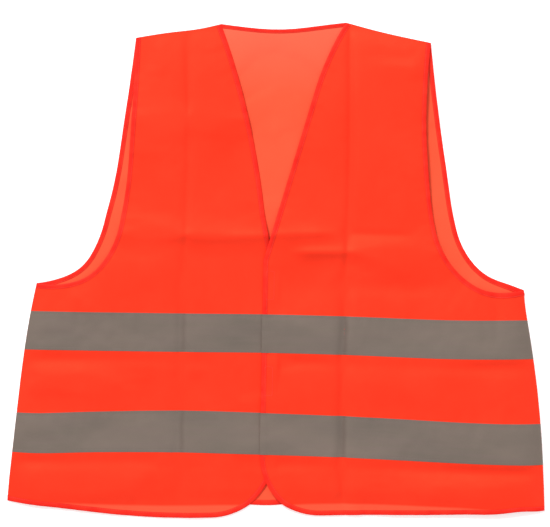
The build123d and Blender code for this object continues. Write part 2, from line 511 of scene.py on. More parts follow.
def back_heights():
    """The back lies flat on the floor, apart from its seams and some slack."""
    low = CLOTH / 2 + TAPE + THREAD + 0.1 * MM
    rise = (SEAM_HEIGHT["back"] - low) * np.exp(-seam_gap / (3 * MM))  # up to the side seams
    soft = 0.35 * MM * (1 + waves(11, 70 * MM, 220 * MM) / 2)
    return low + rise + np.clip(soft, 0, None) * np.tanh(seam_gap / (20 * MM))


def front_form(side):
    """A front's height before any wrinkle: up from its seams, and down again to its free edges."""
    away = step_between(on_grid(off_fold(GRID, side)), *CROWN_REACH)
    crown = CROWN[side] - (CROWN[side] - CLOSURE[side]) * away
    rise = np.tanh(seam_gap / PILLOW)
    heights = SEAM_HEIGHT["front"] + (crown - SEAM_HEIGHT["front"]) * rise
    free = np.minimum(edge_gap[side][0], armhole_gap[side][0])
    settle = SETTLE * (1 - np.tanh(free / SETTLE_REACH)) * rise
    # less so along the closure, where each front rests on the other
    settle *= 1 - 0.6 * step_between(np.abs(GRID_X + 12 * MM), 60 * MM, 20 * MM)
    return heights - settle


def front_heights(side, seed):
    """A front's height with every wrinkle, below the axis that it folds about."""
    form, rise = front_form(side), np.tanh(seam_gap / PILLOW)
    wrinkles = 0.35 * MM * waves(seed, 60 * MM, 210 * MM) + 0.16 * MM * tape_puckers(seed)
    wrinkles += 0.2 * MM * puckers(*edge_gap[side], 15 * MM, seed + 20)
    wrinkles += 0.2 * MM * puckers(*armhole_gap[side], 14 * MM, seed + 21)
    wrinkles += storage_folds() + rolls() + tape_sags()
    heights = form + wrinkles * rise
    wrinkles += slack_folds(f"{side}_trial", fronts[side].loop, heights, SLACK_RISE["front"])
    return soft_top(form + wrinkles * rise, JOINTS[f"{side}_front"]["pos_m"][2] - AXIS_ROOM)


# ---- slack in the cloth, by simulation ----
SIM_STEP = 8 * MM  # between the points of a trial cloth
SIM_FRAMES = 30
SLACK = 0.012  # how much longer the knit is than the seams and tapes that it is sewn to
SLACK_RISE = {"front": 1.5 * MM, "back": 1.0 * MM}  # the most that its folds may rise


def slack_folds(name, loop, heights, most):
    """The folds that a cloth slightly too large for its seams settles into, at most so high."""
    low, high = loop.min(axis=0) - 2 * SIM_STEP, loop.max(axis=0) + 2 * SIM_STEP
    xs, ys = np.arange(low[0], high[0], SIM_STEP), np.arange(low[1], high[1], SIM_STEP)
    x, y = np.meshgrid(xs, ys)
    inner = is_inside(pairs(x, y), loop).reshape(x.shape)
    squares = inner[:-1, :-1] & inner[1:, :-1] & inner[1:, 1:] & inner[:-1, 1:]
    used = np.zeros(x.shape, bool)
    for di, dj in ((0, 0), (1, 0), (1, 1), (0, 1)):
        used[di : di + squares.shape[0], dj : dj + squares.shape[1]] |= squares
    index = np.full(x.shape, -1)
    index[used] = np.arange(used.sum())
    i, j = np.nonzero(squares)
    faces = np.stack([index[i, j], index[i, j + 1], index[i + 1, j + 1], index[i + 1, j]], axis=1)
    plan = np.stack([x[used], y[used]], axis=1)
    start = sampled(heights, plan)
    moved = simulated(name, np.c_[plan, start], faces, sampled(held_share(), plan))
    rise = np.zeros(x.shape)
    rise[used] = most * np.tanh((moved[:, 2] - start) / (1.8 * most))
    return resampled(xs, ys, spread(rise, used))


def held_share():
    """How firmly each place is held: by the seams, and a little by the stiffer tapes."""
    tapes = sum(
        np.exp(-(((GRID_Y - (low + high) / 2) / (24 * MM)) ** 6)) for low, high in TAPE_ROWS.values()
    )
    return np.clip(np.exp(-((seam_gap / (9 * MM)) ** 2)) + 0.15 * tapes + 0.01, 0, 1)


def simulated(name, vertices, faces, held):
    """Where a cloth's points come to rest. The trial object is removed again."""
    mesh = bpy.data.meshes.new(name)
    mesh.from_pydata(vertices.tolist(), [], faces.tolist())
    obj = bpy.data.objects.new(name, mesh)
    scene = bpy.context.scene
    scene.collection.objects.link(obj)
    group = obj.vertex_groups.new(name="held")
    for n, share in enumerate(held):
        group.add([n], float(share), "REPLACE")
    modifier = obj.modifiers.new("slack", "CLOTH")
    settings = modifier.settings
    settings.quality = 6
    settings.mass = 0.05
    settings.tension_stiffness = settings.compression_stiffness = 20
    settings.shear_stiffness = 8
    settings.bending_stiffness = 0.3
    settings.tension_damping = settings.compression_damping = settings.shear_damping = 8
    settings.air_damping = 1.5
    settings.shrink_min = -SLACK
    settings.vertex_group_mass = "held"
    settings.effector_weights.gravity = 0.0
    modifier.collision_settings.use_collision = False
    modifier.point_cache.frame_start, modifier.point_cache.frame_end = 1, SIM_FRAMES
    for step in range(1, SIM_FRAMES + 1):
        scene.frame_set(step)
    result = obj.evaluated_get(bpy.context.evaluated_depsgraph_get()).to_mesh()
    moved = np.zeros(len(vertices) * 3)
    result.vertices.foreach_get("co", moved)
    scene.frame_set(1)
    bpy.data.objects.remove(obj)
    bpy.data.meshes.remove(mesh)
    return moved.reshape(-1, 3)


def spread(values, known):
    """Values carried outwards from where they are known."""
    known = known.copy()
    for _ in range(8):
        total, count = np.zeros(values.shape), np.zeros(values.shape)
        for axis, way in ((0, 1), (0, -1), (1, 1), (1, -1)):
            total += np.roll(values * known, way, axis)
            count += np.roll(known, way, axis)
        new = ~known & (count > 0)
        values = np.where(new, total / np.maximum(count, 1), values)
        known |= new
    return values


def resampled(xs, ys, values):
    """A coarse grid's values on the layers' grid, smoothed."""
    across = np.array([np.interp(GRID_X[0], xs, row) for row in values])
    full = np.array([np.interp(GRID_Y[:, 0], ys, column) for column in across.T]).T
    for _ in range(3):
        pad = np.pad(full, 1, mode="edge")
        full = (pad[:-2, 1:-1] + pad[2:, 1:-1] + pad[1:-1, :-2] + pad[1:-1, 2:]) / 8 + full / 2
    return full


def higher(one, other, soft=0.3 * MM):
    """The greater of two heights, with a soft change from one to the other."""
    return other + soft * np.logaddexp(0, (one - other) / soft)


back_grid = back_heights()
slack = slack_folds("back_trial", back.loop, back_grid, SLACK_RISE["back"])
back_grid = back_grid + np.clip(slack, 0, None) * np.tanh(seam_gap / (30 * MM))
right_grid = higher(front_heights("right", 31), back_grid + ON_BACK)
overlap = step_between(GRID_X, 14 * MM, -2 * MM)
patch_low, patch_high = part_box("hook_patches")
patch_ys = [patch_low.y + PATCH_LONG / 2, patch_high.y - PATCH_LONG / 2]
patch_near = sum(np.exp(-(((GRID_Y - y) / (32 * MM)) ** 4)) for y in patch_ys)
over_gap = OVERLAP_GAP + PATCH_ROOM * patch_near
needed = right_grid + over_gap - (1 - overlap) * 12 * MM  # far below the left front beside the overlap
left_free = higher(front_heights("left", 32), back_grid + ON_BACK)
left_top = JOINTS["left_front"]["pos_m"][2] - LIFTED_ROOM
left_grid = soft_top(higher(left_free, needed, 0.4 * MM), left_top)
layers = {"back": Layer(back_grid), "right": Layer(right_grid), "left": Layer(left_grid)}


# ---- materials ----
class Nodes:
    """A material's node tree, built a node at a time."""

    def __init__(self, name):
        self.material = bpy.data.materials.new(name)
        self.material.use_nodes = True
        self.tree = self.material.node_tree
        self.shader = self.tree.nodes["Principled BSDF"]
        self.uv = self.add("ShaderNodeUVMap")
        self.uv.uv_map = "plan"

    def add(self, kind, **values):
        node = self.tree.nodes.new(kind)
        for name, value in values.items():
            if name in node.inputs:
                node.inputs[name].default_value = value
            else:
                setattr(node, name, value)
        return node

    def link(self, start, end):
        self.tree.links.new(start, end)
        return end

    def stretched(self, along, across, turn=0.0):
        """Plan coordinates scaled to repeats per metre."""
        mapping = self.add("ShaderNodeMapping")
        mapping.inputs["Scale"].default_value = (along, across, 1)
        mapping.inputs["Rotation"].default_value = (0, 0, turn)
        self.link(self.uv.outputs["UV"], mapping.inputs["Vector"])
        return mapping.outputs["Vector"]

    def noise(self, along, across, detail=2.0, roughness=0.5):
        node = self.add("ShaderNodeTexNoise", Scale=1.0, Detail=detail, Roughness=roughness)
        self.link(self.stretched(along, across), node.inputs["Vector"])
        return node.outputs["Fac"]

    def wave(self, along, across, turn=0.0, distortion=0.0):
        """Even ridges across the plan's first axis, 'along' to the metre."""
        node = self.add("ShaderNodeTexWave", Scale=math.pi / 10, Distortion=distortion)
        node.wave_profile = "SIN"
        self.link(self.stretched(along, across, turn), node.inputs["Vector"])
        return node.outputs["Fac"]

    def math(self, operation, one, other):
        node = self.add("ShaderNodeMath", operation=operation)
        for value, socket in zip((one, other), node.inputs):
            if isinstance(value, float):
                socket.default_value = value
            else:
                self.link(value, socket)
        return node.outputs[0]

    def ramp(self, factor, *stops):
        """Colours or shares along a factor: (place, value) pairs."""
        node = self.add("ShaderNodeValToRGB")
        elements = node.color_ramp.elements
        while len(elements) < len(stops):
            elements.new(0.5)
        for element, (place, value) in zip(elements, stops):
            element.position = place
            element.color = (*value, 1) if isinstance(value, tuple) else (value,) * 3 + (1,)
        self.link(factor, node.inputs["Fac"])
        return node.outputs["Color"]

    def mixed(self, factor, one, other, mode="MIX"):
        node = self.add("ShaderNodeMix", data_type="RGBA", blend_type=mode)
        for value, socket in zip((factor, one, other), (node.inputs[0], node.inputs[6], node.inputs[7])):
            if isinstance(value, tuple):
                socket.default_value = (*value, 1)
            elif isinstance(value, float):
                socket.default_value = value
            else:
                self.link(value, socket)
        return node.outputs[2]

    def bump(self, height, strength, depth, before=None):
        node = self.add("ShaderNodeBump", Strength=strength, Distance=depth)
        self.link(height, node.inputs["Height"])
        if before is not None:
            self.link(before, node.inputs["Normal"])
        return node.outputs["Normal"]

    def finish(self, colour, roughness, normal=None, **values):
        self.link(colour, self.shader.inputs["Base Color"])
        if isinstance(roughness, float):
            self.shader.inputs["Roughness"].default_value = roughness
        else:
            self.link(roughness, self.shader.inputs["Roughness"])
        if normal is not None:
            self.link(normal, self.shader.inputs["Normal"])
        for name, value in values.items():
            self.shader.inputs[name.replace("_", " ")].default_value = value
        return self.material


WALES = 1 / (1.25 * MM)  # columns of knitted loops to the metre
COURSES = 1 / (1.0 * MM)  # rows of knitted loops to the metre


def knit(name, colour, deep, other=None, share_of=None):
    """Warp-knitted polyester: columns of small loops, with soft, unevenly dyed colour and painted shade
    between the loops.

    Where part of a cloth is painted lighter or darker for light and shade, other is the lighter painted
    colour, and share_of gives the place.
    """
    n = Nodes(name)
    columns = n.wave(WALES, 0.0)
    rows = n.wave(COURSES, 0.0, turn=math.pi / 2)
    slant = n.wave(WALES, COURSES, turn=0.6)
    loops = n.math("MULTIPLY", n.math("ADD", columns, rows), n.math("ADD", slant, 0.6))
    patchy = n.noise(14.0, 9.0, detail=5.0, roughness=0.6)
    fibres = n.noise(1600.0, 1200.0, detail=1.0)
    dye_and_painted_light = n.mixed(n.ramp(patchy, (0.3, 0.0), (0.75, 1.0)), deep, colour)
    if share_of:
        # painted light and shade: the colour moves towards other, the lighter one, where share_of says
        dye_and_painted_light = n.mixed(share_of(n), dye_and_painted_light, other)
    # painted shade in the hollows between the knitted loops
    shade = n.ramp(loops, (0.0, 0.80), (0.9, 1.0))
    dye_and_painted_light = n.mixed(0.42, dye_and_painted_light, n.mixed(1.0, dye_and_painted_light, shade, "MULTIPLY"))
    normal = n.bump(loops, 0.35, 0.25 * MM)
    normal = n.bump(fibres, 0.2, 0.1 * MM, normal)
    return n.finish(
        dye_and_painted_light,
        n.ramp(fibres, (0.2, 0.54), (0.8, 0.66)),
        normal,
        Sheen_Weight=0.03,
        Sheen_Roughness=0.45,
        Sheen_Tint=(1.0, 0.45, 0.2, 1.0),
        Specular_IOR_Level=0.6,
        Specular_Tint=(1.0, 0.55, 0.2, 1.0),
    )


def along_plan(n, start, end):
    """A share that goes from 0 to 1 between two heights in plan."""
    parts = n.add("ShaderNodeSeparateXYZ")
    n.link(n.uv.outputs["UV"], parts.inputs[0])
    share = n.math("DIVIDE", n.math("SUBTRACT", parts.outputs["Y"], float(start)), float(end - start))
    node = n.add("ShaderNodeClamp")
    n.link(share, node.inputs["Value"])
    return node.outputs[0]


def below_the_back(n):
    """A front's cloth below the back's hem lies alone on the pale floor, so it is painted lighter there:
    painted light of the floor shining through.
    """
    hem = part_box("back_hem_binding")[0].y
    return along_plan(n, hem, hem - 3.0 * MM)


def towards_the_neck(n):
    """Painted shade: the back's inside is painted darker away from the neck, for the fronts' shade, and
    lightest at the neck.
    """
    return along_plan(n, 225 * MM, 320 * MM)


def woven_binding():
    """Bias tape: a tight slanting weave, worn a little lighter in places."""
    n = Nodes("binding")
    one = n.wave(1 / (0.7 * MM), 0.0, turn=0.79)
    other = n.wave(1 / (0.7 * MM), 0.0, turn=-0.79)
    weave = n.math("MULTIPLY", one, other)
    wear = n.noise(55.0, 55.0, detail=4.0)
    colour = n.mixed(n.ramp(wear, (0.35, 0.0), (0.7, 1.0)), (0.78, 0.013, 0.006), (0.86, 0.026, 0.011))
    return n.finish(
        colour,
        n.ramp(wear, (0.2, 0.58), (0.8, 0.7)),
        n.bump(weave, 0.3, 0.15 * MM),
        Sheen_Weight=0.05,
        Sheen_Tint=(1.0, 0.3, 0.2, 1.0),
        Specular_IOR_Level=0.15,
    )


def reflective():
    """Tape coated with glass beads: grey-brown, finely grained, rubbed, and darker along the storage
    folds, with painted crease shade over coating that the folds cracked.
    """
    n = Nodes("reflective_tape")
    beads = n.noise(2600.0, 2600.0, detail=0.0)
    threads = 1 / (0.9 * MM)
    cloth_below = n.math("ADD", n.wave(threads, 0.0), n.wave(threads, 0.0, turn=math.pi / 2))
    rubbed = n.noise(6.0, 16.0, detail=5.0, roughness=0.55)
    streaks = n.noise(9.0, 210.0, detail=3.0)
    worn = n.ramp(rubbed, (0.32, 0.0), (0.7, 1.0))
    colour = n.mixed(worn, (0.146, 0.117, 0.094), (0.197, 0.150, 0.120))
    colour = n.mixed(n.ramp(streaks, (0.35, 0.0), (0.75, 0.35)), colour, (0.187, 0.131, 0.120))
    colour = n.mixed(n.ramp(beads, (0.3, 0.10), (0.7, 0.0)), colour, (0.06, 0.05, 0.045))
    for x, height, _ in FOLDS_DOWN:
        most = 0.4 * abs(height) / (2.6 * MM)  # the deeper the fold, the darker the painted crease shade and the more coating is lost
        colour = n.mixed(crease_shade_and_cracks(n, x, most), colour, (0.10, 0.068, 0.055))
    normal = n.bump(cloth_below, 0.12, 0.1 * MM)
    normal = n.bump(beads, 0.25, 0.05 * MM, normal)
    return n.finish(
        colour,
        n.ramp(rubbed, (0.3, 0.42), (0.8, 0.6)),
        normal,
        Metallic=0.15,
        Specular_IOR_Level=0.35,
    )


def crease_shade_and_cracks(n, x, most):
    """The share of painted crease shade and cracked coating along one storage fold."""
    parts = n.add("ShaderNodeSeparateXYZ")
    n.link(n.uv.outputs["UV"], parts.inputs[0])
    bent = n.math("ADD", parts.outputs["X"], n.math("MULTIPLY", n.noise(40.0, 60.0), 4.0 * MM))
    off = n.math("ABSOLUTE", n.math("SUBTRACT", bent, float(x + 2.0 * MM)), 0.0)
    near = n.math("SUBTRACT", 1.0, n.math("DIVIDE", off, 5.0 * MM))
    return n.math("MULTIPLY", n.math("MAXIMUM", near, 0.0), float(most))


def twisted_thread(name, dark, light):
    """Sewing thread, with painted shade in the grooves between its plies."""
    n = Nodes(name)
    ply = n.wave(1 / (0.5 * MM), 0.0, turn=0.6)
    colour = n.ramp(ply, (0.0, dark), (1.0, light))
    return n.finish(colour, 0.55, n.bump(ply, 0.4, 0.08 * MM), Sheen_Weight=0.08, Specular_IOR_Level=0.3)


def fastening(name, light, dark, grain):
    """The base of a hook or a loop patch: a stiff ribbed nylon weave."""
    n = Nodes(name)
    ribs = n.wave(1 / (grain * MM), 0.0)
    fluff = n.noise(900.0, 900.0, detail=3.0)
    colour = n.mixed(n.ramp(fluff, (0.3, 0.0), (0.7, 1.0)), dark, light)
    normal = n.bump(ribs, 0.3, 0.15 * MM)
    return n.finish(
        colour,
        0.7,
        n.bump(fluff, 0.3, 0.1 * MM, normal),
        Sheen_Weight=0.05,
        Sheen_Tint=(1.0, 0.3, 0.2, 1.0),
        Specular_IOR_Level=0.15,
    )


def satin():
    """The blank care label: white satin ribbon, a little grey in soft patches."""
    n = Nodes("label")
    threads = n.wave(1 / (0.35 * MM), 0.0, distortion=0.4)
    soiled = n.noise(60.0, 60.0, detail=4.0)
    colour = n.ramp(soiled, (0.25, (0.72, 0.70, 0.66)), (0.6, (0.83, 0.82, 0.79)))
    return n.finish(colour, 0.38, n.bump(threads, 0.25, 0.06 * MM), Sheen_Weight=0.1)


KNIT = knit("knit", (0.93, 0.0265, 0.0114), (0.90, 0.0200, 0.0080))
# the front's outer face is painted lighter below the back's hem, for the floor's light through one layer
KNIT_FRONT = knit(
    "knit_front", (0.93, 0.0265, 0.0114), (0.90, 0.0200, 0.0080), (0.93, 0.076, 0.038), below_the_back
)
# painted light: one layer of the knit alone lets the pale floor through, so the back's inside is painted
# lighter all over
KNIT_WITH_PAINTED_LIGHT = knit(
    "knit_with_painted_light", (0.93, 0.086, 0.041), (0.91, 0.074, 0.034), (0.94, 0.118, 0.070), towards_the_neck
)
BINDING = woven_binding()
REFLECTIVE = reflective()
SEWING = twisted_thread("thread", (0.66, 0.030, 0.014), (0.88, 0.055, 0.028))
GREY_SEWING = twisted_thread("grey_thread", (0.130, 0.109, 0.094), (0.204, 0.170, 0.144))
HOOKS = fastening("hook_base", (0.50, 0.035, 0.02), (0.36, 0.02, 0.012), 0.9)
LOOPS = fastening("loop_base", (0.66, 0.05, 0.026), (0.45, 0.03, 0.016), 1.3)
LABEL = satin()


# ---- meshes ----
def piece(name, vertices, faces, plan, material, sharp=50):
    """A smooth-shaded mesh object that carries its own plan as UV coordinates."""
    mesh = bpy.data.meshes.new(name)
    mesh.from_pydata(vertices.tolist(), [], faces)
    mesh.validate()
    layer = mesh.uv_layers.new(name="plan")
    corner = np.zeros(len(mesh.loops), int)
    mesh.loops.foreach_get("vertex_index", corner)
    layer.data.foreach_set("uv", np.asarray(plan, np.float32)[corner].ravel())
    mesh.shade_smooth()
    mesh.set_sharp_from_angle(angle=math.radians(sharp))
    for m in material if isinstance(material, (list, tuple)) else [material]:
        mesh.materials.append(m)
    obj = bpy.data.objects.new(name, mesh)
    bpy.context.scene.collection.objects.link(obj)
    return obj


def hexagonal(low, high, step):
    """Points of an even triangular grid over a rectangle."""
    rows = np.arange(low[1], high[1], step * math.sqrt(0.75))
    cols = np.arange(low[0], high[0], step)
    x, y = np.meshgrid(cols, rows)
    return pairs(x + (np.arange(len(rows))[:, None] % 2) * step / 2, y)


def filled(outline, points, gap):
    """Triangles over a closed outline, with those points in it that keep this gap from its edge."""
    points = points[is_inside(points, outline)]
    points = points[distance(points, closed(outline)) > gap]
    everything = [Vector(p) for p in np.concatenate([outline, points])]
    result = delaunay_2d_cdt(everything, [], [list(range(len(outline)))], 1, 1e-7)
    return np.array([tuple(v) for v in result[0]]), np.array(result[2])


def triangulated(loop, side=None):
    """A plan filled with even triangles, finer where a front folds."""
    outline = spaced_loop(loop, STEP)
    points = hexagonal(outline.min(axis=0), outline.max(axis=0), STEP)
    if side:
        fine = hexagonal(outline.min(axis=0), outline.max(axis=0), FOLD_BEND / 8)
        bend = FOLD_BEND * 0.7
        flat = points[np.abs(off_fold(points, side)) > bend]
        points = np.concatenate([flat, fine[np.abs(off_fold(fine, side)) <= bend]])
    return filled(outline, points, STEP * 0.55)


def rim(triangles):
    """The edges that only one triangle has, in the triangle's direction."""
    edges = np.concatenate([triangles[:, [0, 1]], triangles[:, [1, 2]], triangles[:, [2, 0]]])
    key = np.sort(edges, axis=1)
    _, first, times = np.unique(key, axis=0, return_index=True, return_counts=True)
    return edges[first[times == 1]]


def walled(faces, edges, count):
    """The faces of a closed sheet: its upper ones, the lower ones, whose vertices come count later,
    and the walls round its edges."""
    walls = np.stack([edges[:, 1], edges[:, 0], edges[:, 0] + count, edges[:, 1] + count], axis=1)
    return faces.tolist() + (faces[:, ::-1] + count).tolist() + walls.tolist()


def grid_sheet(columns, rows):
    """The faces of a closed sheet whose upper and lower side are grids of vertices."""
    index = np.arange(columns * rows).reshape(columns, rows)
    quads = [index[:-1, :-1], index[1:, :-1], index[1:, 1:], index[:-1, 1:]]
    ring = np.concatenate([index[:, 0], index[-1, 1:], index[-2::-1, -1], index[0, -2:0:-1]])
    edges = np.stack([ring, np.roll(ring, -1)], axis=1)
    return walled(np.stack(quads, axis=-1).reshape(-1, 4), edges, columns * rows)


def cloth(name, loop, layer, materials, side=None):
    """A cloth with its real thickness, closed along the cut edge. Its upper face has the first
    material, and the rest the second."""
    plan, triangles = triangulated(loop, side)
    vertices = np.concatenate([layer.place(plan, CLOTH / 2), layer.place(plan, -CLOTH / 2)])
    faces = walled(triangles, rim(triangles), len(plan))
    obj = piece(name, vertices, faces, np.concatenate([plan, plan]), materials)
    outer = np.zeros(len(obj.data.polygons), np.int32)
    outer[len(triangles) :] = 1
    obj.data.polygons.foreach_set("material_index", outer)
    return obj


def swept(count, size):
    """Faces of a closed tube through equal rings of vertices, with its two ends filled."""
    index = np.arange(count * size).reshape(count, size)
    a, b = index[:-1], index[1:]
    quads = np.stack([a, np.roll(a, -1, axis=1), np.roll(b, -1, axis=1), b], axis=-1).reshape(-1, 4)
    return quads.tolist() + [index[0, ::-1].tolist(), index[-1].tolist()]


def rings_round(line, radius, count, off_axis):
    """Rings of vertices round points in space. Off_axis is a direction that the line doesn't take."""
    along = unit(np.gradient(line, axis=0))
    across = unit(np.cross(along, off_axis))
    up = np.cross(across, along)
    turn = np.arange(count) * 2 * math.pi / count
    ring = across[:, None] * np.cos(turn)[:, None] + up[:, None] * np.sin(turn)[:, None]
    return (line[:, None] + radius * ring).reshape(-1, 3)


class Gathered:
    """Closed parts that make up one piece."""

    def __init__(self):
        self.vertices, self.faces, self.plans, self.count = [], [], [], 0

    def add(self, vertices, faces, plan):
        self.faces += [[i + self.count for i in face] for face in faces]
        self.vertices.append(vertices)
        self.plans.append(plan)
        self.count += len(vertices)

    def build(self, name, material, slot, sharp):
        vertices, plan = np.concatenate(self.vertices), np.concatenate(self.plans)
        return facing_out(piece(name, vertices, self.faces, plan, material, sharp))


def facing_out(obj):
    """Turns a closed mesh's faces outwards."""
    work = bmesh.new()
    work.from_mesh(obj.data)
    bmesh.ops.recalc_face_normals(work, faces=work.faces)
    work.to_mesh(obj.data)
    work.free()
    return obj


def path_frame(path):
    """Directions along and to the left of a path, at each of its points."""
    along = unit(np.gradient(path, axis=0))
    return along, np.stack([-along[:, 1], along[:, 0]], axis=1)


def finer_at_fold(path, step, side):
    """An open path with even points, closer together where a front folds."""
    even = spaced(path, FOLD_BEND / 12)
    near = np.abs(off_fold(even, side)) < FOLD_BEND * 0.75 if side else np.zeros(len(even), bool)
    every = max(1, int(round(step / (FOLD_BEND / 12))))
    keep = near | (np.arange(len(even)) % every == 0)
    keep[[0, -1]] = True
    return even[keep]


def in_tape_rows(y, margin):
    """Which heights in plan lie on a tape, or this close to one."""
    return sum(((y > low - margin) & (y < high + margin)) for low, high in TAPE_ROWS.values()) > 0


BINDING_CROWN = 0.22 * MM
BINDING_ROW = 6.5 * MM  # from the bound edge to the row of stitches
# how much of each strip's width shows, which differs as the strips are folded by hand
NECK_SHARE, HEM_SHARE, FRONT_SHARE, ARMHOLE_SHARE = 0.6, 0.75, 0.75, 0.72


def inward_of(path, loop):
    """+1 if a loop's inside is to the left of a path along it, or -1."""
    start = (len(path) - 1) // 2
    run = path[start + 1] - path[start]
    left = np.array([-run[1], run[0]]) / np.linalg.norm(run)
    probe = (path[start] + path[start + 1]) / 2 + left * 3 * MM
    return 1 if is_inside(probe[None], loop)[0] else -1


def bound(path, cloth_name, share):
    """A bound edge: its path, its way in, its layer, and how much of the strip's width shows."""
    outline = fronts.get(cloth_name, back)
    return path, inward_of(path, outline.loop), layers[cloth_name], share


BACK_STRIPS = {
    "neck": [bound(back_neck, "back", NECK_SHARE)],
    "hem": [bound(back_hem, "back", HEM_SHARE)],
}
FRONT_STRIPS = {side: [bound(path, side, FRONT_SHARE)] for side, path in front_edges.items()}
ARMHOLE_STRIPS = {
    side: [
        bound(back_armholes[side], "back", ARMHOLE_SHARE),
        bound(front_armholes[side], side, ARMHOLE_SHARE),
    ]
    for side in SIDES
}
CLIMB_TO = BINDING_WIDTH * FRONT_SHARE + 0.2 * MM  # where a tape has climbed onto the strip
CLIMB_FROM = CLIMB_TO + 2.3 * MM


def binding_profile():
    """Half of a folded strip's outside: how far in from the edge, how high, and its share of crown."""
    half, top = CLOTH / 2, CLOTH / 2 + TRIM
    return [
        (BINDING_WIDTH, half + 0.02 * MM, 0.0),
        (BINDING_WIDTH, top - 0.08 * MM, 0.0),
        (BINDING_WIDTH - 0.5 * MM, top, 0.3),
        (BINDING_ROW + 0.5 * MM, top, 0.1),
        (BINDING_ROW, top - 0.1 * MM, 0.0),
        (BINDING_ROW - 0.6 * MM, top, 0.3),
        (4.4 * MM, top, 0.9),
        (2.4 * MM, top, 1.0),
        (0.9 * MM, top, 0.6),
        (0.0, top - 0.1 * MM, 0.2),
        (-0.42 * MM, half * 0.9, 0.0),
    ]


def binding(name, edges, side=None):
    """A strip folded round bound edges. A front's strip lies flat where it passes under a tape."""
    upper = binding_profile()
    lower = [(d, -h, -c) for d, h, c in upper[::-1]]
    half = CLOTH / 2 + 0.02 * MM
    inside = [(0.3 * MM, -half, 0.0), (0.3 * MM, half, 0.0)]
    profile = np.array(upper + [(-0.55 * MM, 0.0, 0.0)] + lower + inside)
    strip = Gathered()
    for path, inward, layer, share in edges:
        path = finer_at_fold(path, 2.4 * MM, side)
        _, left = path_frame(path)
        run = run_along(path)
        pucker = 1 + 0.35 * np.sin(run / (2.3 * MM)) * np.sin(run / (17 * MM) + 1)
        crown = BINDING_CROWN * pucker
        if side:
            crown = crown * (1 - in_tape_rows(path[:, 1], 2 * MM))
        depth = np.where(profile[:, 0] > 0, profile[:, 0] * share, profile[:, 0])
        place = path[:, None] + inward * left[:, None] * depth[None, :, None]
        lift = profile[None, :, 1] + crown[:, None] * profile[None, :, 2]
        # the strip's own plan, with its underside kept apart from its upper side
        depth = np.broadcast_to(depth[None], lift.shape) + np.where(lift < 0, 20 * MM, 0.0)
        plan = pairs(np.repeat(run, len(profile)), depth)
        vertices = layer.place(place.reshape(-1, 2), lift.ravel())
        strip.add(vertices, swept(len(path), len(profile)), plan)
    return strip.build(name, BINDING, "binding", 60)


def crossings(loop, y):
    """The least and greatest x where a loop crosses a height in plan."""
    ends = np.roll(loop, -1, axis=0)
    hits = []
    for (ax, ay), (bx, by) in zip(loop, ends):
        if (ay > y) != (by > y):
            hits.append(ax + (bx - ax) * (y - ay) / (by - ay))
    return min(hits), max(hits)


TAPE_ROW_INSET = 3.0 * MM  # from a tape's edge to its row of stitches
STITCH_GROOVE = 0.09 * MM  # how deep that row presses into the tape
TAPE_STEP = 2.5 * MM  # between the points along a tape
OVER_EDGE = 0.9 * MM  # a tape's end turns over the bound edge by this much
CLIMB = TRIM + 0.03 * MM  # how much higher a tape lies on the strip
ROW_INSET = 1.5 * MM


def tape(name, row, loop, layer, outward, side=None, bound_edge=None):
    """A reflective tape across a cloth. Outward is the face it is sewn to: +1 above, -1 below."""
    low, high = TAPE_ROWS[row]
    width = high - low
    dip = TAPE_ROW_INSET
    offsets = [0, 0.5 * MM, dip - 0.8 * MM, dip, dip + 0.8 * MM]
    offsets += list(np.linspace(6 * MM, width - 6 * MM, 15))
    offsets += [width - o for o in offsets[4::-1]]
    across = low + np.array(offsets)
    pressed = np.array([min(o, width - o) for o in offsets])
    pressed = STITCH_GROOVE * np.exp(-(((pressed - dip) / (0.6 * MM)) ** 2))
    ends = np.array([crossings(loop, y) for y in across])
    if bound_edge is not None:
        nearer = int(abs(ends[0, 1] - bound_edge) < abs(ends[0, 0] - bound_edge))
        ends[:, nearer] += (1 if nearer else -1) * OVER_EDGE
    count = int((ends[:, 1] - ends[:, 0]).max() / TAPE_STEP)
    share = np.linspace(0, 1, count)
    if side:
        middle_row = ends[len(ends) // 2]
        at = middle_row[0] + share * (middle_row[1] - middle_row[0])
        off = off_fold(np.stack([at, np.full(count, (low + high) / 2)], axis=1), side)
        reach = FOLD_BEND + width * 0.5
        fine = share[np.abs(off) < reach]
        share = np.unique(np.r_[share, np.linspace(fine[0], fine[-1], len(fine) * 2 + 1)])
    x = ends[None, :, 0] + share[:, None] * (ends[:, 1] - ends[:, 0])[None]
    plan = np.stack([x, np.broadcast_to(across, x.shape)], axis=-1)
    flat = plan.reshape(-1, 2)
    climb = np.zeros(x.shape)
    if bound_edge is not None:
        climb = CLIMB * step_between(np.abs(x - bound_edge), CLIMB_FROM, CLIMB_TO)
    base = CLOTH / 2 + 0.015 * MM + climb
    top = base + TAPE - pressed[None]
    upper = layer.place(flat, outward * top.ravel())
    under = layer.place(flat, outward * base.ravel())
    band = Gathered()
    band.add(np.concatenate([upper, under]), grid_sheet(*x.shape), np.concatenate([flat, flat]))
    return band.build(name, REFLECTIVE, "reflective_tape", 60)


